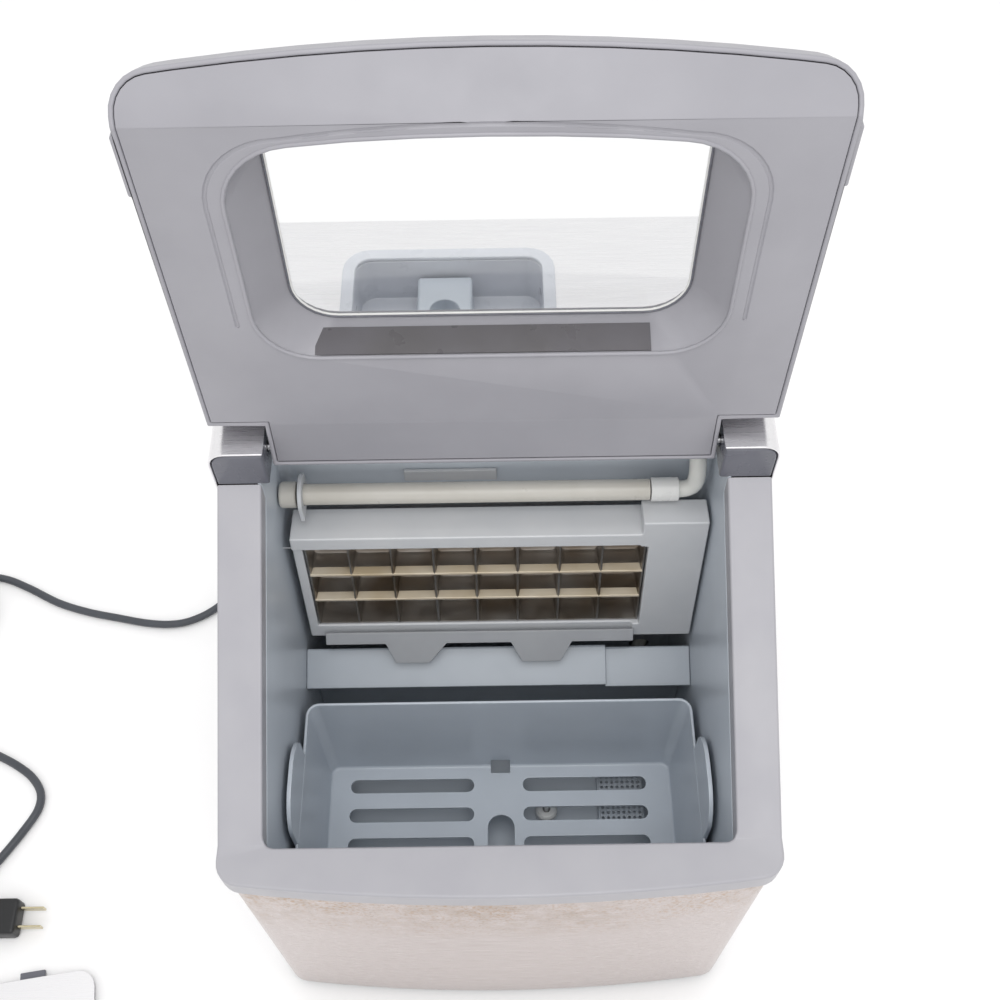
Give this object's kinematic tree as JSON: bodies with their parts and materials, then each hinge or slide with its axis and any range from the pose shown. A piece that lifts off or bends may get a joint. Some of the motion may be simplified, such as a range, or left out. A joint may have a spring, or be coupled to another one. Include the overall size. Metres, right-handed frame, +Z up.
{
  "type": "ice maker",
  "caption": "Countertop ice maker standing open: steel casing, windowed lid tipped back, ice bin with lift-out basket, tilted freezing grid, filling port with its cover off, cord and plug.",
  "frame": {"origin": "centre of the flat pad pressed into the underside of the base pan; the feet stand 4.5 mm below it", "axes": "+Z up, -Y out of the front where the user stands, +X to the user's right; lid open at rest"},
  "size_m": [0.6415, 0.5147, 0.5998],
  "materials": {
    "galvanised_pan": "zinc-coated pressed steel, dull",
    "brushed_stainless": "brushed stainless sheet, satin",
    "light_grey_plastic": "moulded ABS, light cool grey, semi-gloss",
    "dark_grey_plastic": "moulded ABS, dark grey",
    "blue_grey_plastic": "moulded ABS, blue-grey, semi-gloss",
    "pale_plastic": "moulded plastic, pale grey",
    "cream_plastic": "moulded plastic, creamy off-white",
    "white_plastic": "moulded plastic or soft hose, white",
    "nickel_plate": "nickel-plated copper, stained by water",
    "copper_pipe": "bare copper tube",
    "black_enamel": "gloss black enamel on a steel shell",
    "aluminium_fins": "mill-finish aluminium fins",
    "black_plastic": "moulded plastic, black",
    "black_rubber": "moulded rubber",
    "clear_plastic": "clear acrylic pane",
    "circuit_board": "glass-fibre circuit board, green",
    "cord_jacket": "soft vinyl cord jacket, dark grey",
    "brass_blade": "plated brass plug blades"
  },
  "bodies": {
    "cabinet": {"base_pan": "galvanised_pan", "foot_front_left": "black_rubber", "foot_front_right": "black_rubber", "foot_rear_left": "black_rubber", "foot_rear_right": "black_rubber", "cabinet_wrap": "brushed_stainless", "front_panel": "brushed_stainless", "rear_panel": "dark_grey_plastic", "top_rim": "light_grey_plastic", "ice_tub": "blue_grey_plastic", "ice_chute": "blue_grey_plastic", "catch_plate": "pale_plastic", "evaporator_frame": "pale_plastic", "evaporator_grid": "nickel_plate", "evaporator_coil": "copper_pipe", "spray_tube": "cream_plastic", "spray_tube_cap": "cream_plastic", "hose_sleeve": "white_plastic", "tube_bracket": "pale_plastic", "water_hose": "white_plastic", "water_pump": "white_plastic", "pump_filter": "blue_grey_plastic", "float_post": "white_plastic", "compressor": "black_enamel", "condenser": "aluminium_fins", "fan_shroud": "black_plastic", "fan_motor": "black_plastic", "discharge_pipe": "copper_pipe", "suction_pipe": "copper_pipe", "drain_spout": "pale_plastic", "port_frame": "white_plastic", "port_well": "blue_grey_plastic", "port_valve_block": "pale_plastic", "control_panel": "black_plastic", "display_lens": "clear_plastic", "control_board": "circuit_board", "hinge_block_left": "dark_grey_plastic", "hinge_block_right": "dark_grey_plastic", "hinge_pin_left": "brushed_stainless", "hinge_pin_right": "brushed_stainless", "cord_gland": "black_plastic", "power_cord": "cord_jacket", "plug_lead": "cord_jacket", "cord_coil": "cord_jacket", "plug_body": "black_plastic", "plug_prong_left": "brass_blade", "plug_prong_right": "brass_blade"},
    "lid": {"lid_outer_cover": "light_grey_plastic", "lid_inner_frame": "light_grey_plastic", "lid_window": "clear_plastic"},
    "ice_basket": {"ice_basket": "blue_grey_plastic"},
    "ice_flap": {"ice_flap": "light_grey_plastic"},
    "water_float": {"water_float": "white_plastic"},
    "condenser_fan": {"fan_rotor": "black_plastic"},
    "power_button": {"power_button": "white_plastic"},
    "size_button": {"size_button": "white_plastic"},
    "timer_button": {"timer_button": "white_plastic"},
    "port_cover": {"port_cover": "brushed_stainless", "port_cover_base": "dark_grey_plastic"},
    "drain_cap": {"drain_cap": "dark_grey_plastic"}
  },
  "joints": [
    {"name": "lid_hinge", "type": "hinge", "parent": "cabinet", "child": "lid", "pos_m": [0, 0.0255, 0.3666], "axis": [-1, 0, 0], "range_deg": [-121.4, 0]},
    {"name": "basket_lift", "type": "slide", "parent": "cabinet", "child": "ice_basket", "axis": [0, 0, 1], "range_m": [0, 0.25]},
    {"name": "flap_hinge", "type": "hinge", "parent": "cabinet", "child": "ice_flap", "pos_m": [0, -0.0005, 0.2015], "axis": [-1, 0, 0], "range_deg": [0, 30]},
    {"name": "float_travel", "type": "slide", "parent": "cabinet", "child": "water_float", "axis": [0, 0, 1], "range_m": [0, 0.011]},
    {"name": "fan_spin", "type": "hinge", "parent": "cabinet", "child": "condenser_fan", "pos_m": [0.075, 0.136, 0.095], "axis": [0, 1, 0], "continuous": true},
    {"name": "power_button_press", "type": "slide", "parent": "cabinet", "child": "power_button", "axis": [0, 0, -1], "range_m": [0, 0.001], "stiffness_N_per_m": 400, "springref_m": -0.001},
    {"name": "size_button_press", "type": "slide", "parent": "cabinet", "child": "size_button", "axis": [0, 0, -1], "range_m": [0, 0.001], "stiffness_N_per_m": 400, "springref_m": -0.001},
    {"name": "timer_button_press", "type": "slide", "parent": "cabinet", "child": "timer_button", "axis": [0, 0, -1], "range_m": [0, 0.001], "stiffness_N_per_m": 400, "springref_m": -0.001},
    {"name": "cover_lift", "type": "slide", "parent": "cabinet", "child": "port_cover", "axis": [0, 0, 1], "range_m": [0, 0.1]},
    {"name": "drain_cap_pull", "type": "slide", "parent": "cabinet", "child": "drain_cap", "axis": [0, 1, 0], "range_m": [0, 0.02]}
  ]
}
